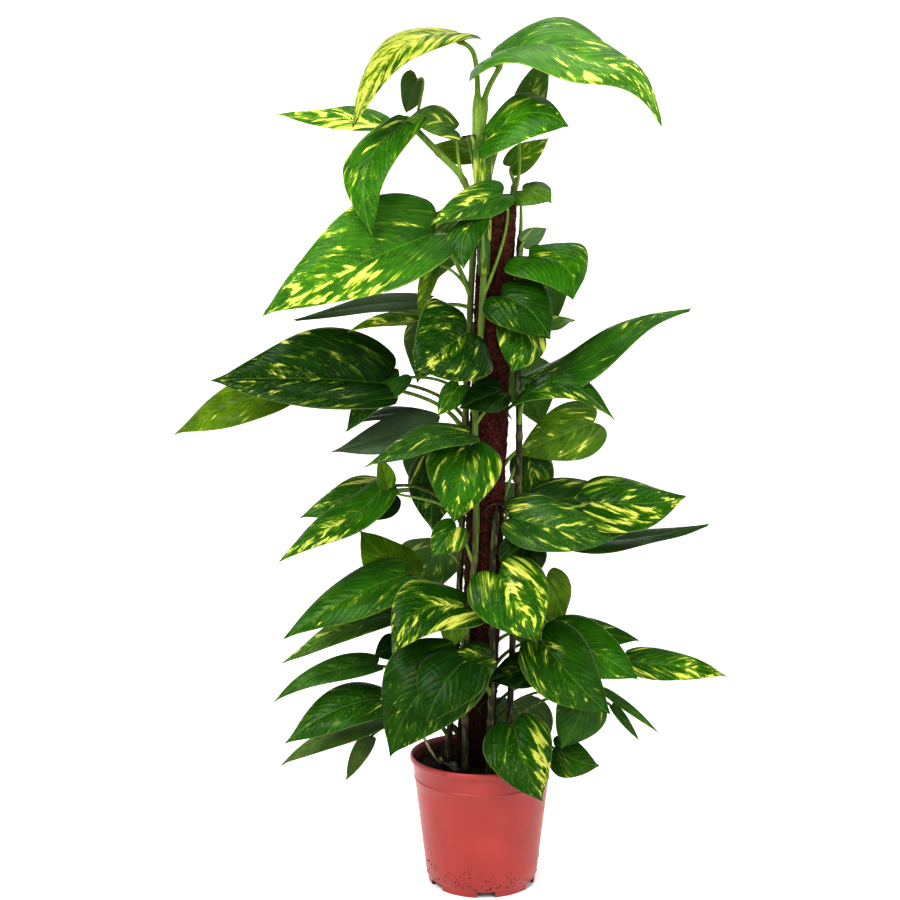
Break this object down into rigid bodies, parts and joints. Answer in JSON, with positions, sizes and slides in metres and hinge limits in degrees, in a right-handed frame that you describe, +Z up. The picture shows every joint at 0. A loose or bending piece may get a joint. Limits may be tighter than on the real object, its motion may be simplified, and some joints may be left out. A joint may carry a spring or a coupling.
{
  "type": "potted pothos plant",
  "caption": "Tall variegated pothos with heart-shaped leaves on vines climbing a coir pole, in a round nursery pot.",
  "frame": {"origin": "centre of the pot's underside, on the surface the pot stands on", "axes": "+Z up along the pot's axis, -Y towards the plant's front, +X to the right as seen from the front"},
  "size_m": [0.735, 0.314, 1.1225],
  "materials": {
    "pot": "satin",
    "soil": "matte",
    "stake": "matte",
    "coir": "matte",
    "foliage": "satin"
  },
  "bodies": {
    "root": {"pot": "pot", "soil": "soil", "pole_stake": "stake", "pole_coir": "coir", "vine_crown": "foliage", "vine_fork": "foliage", "vine_right": "foliage", "vine_back_right": "foliage", "vine_back_left": "foliage", "vine_low_front": "foliage"}
  },
  "joints": []
}
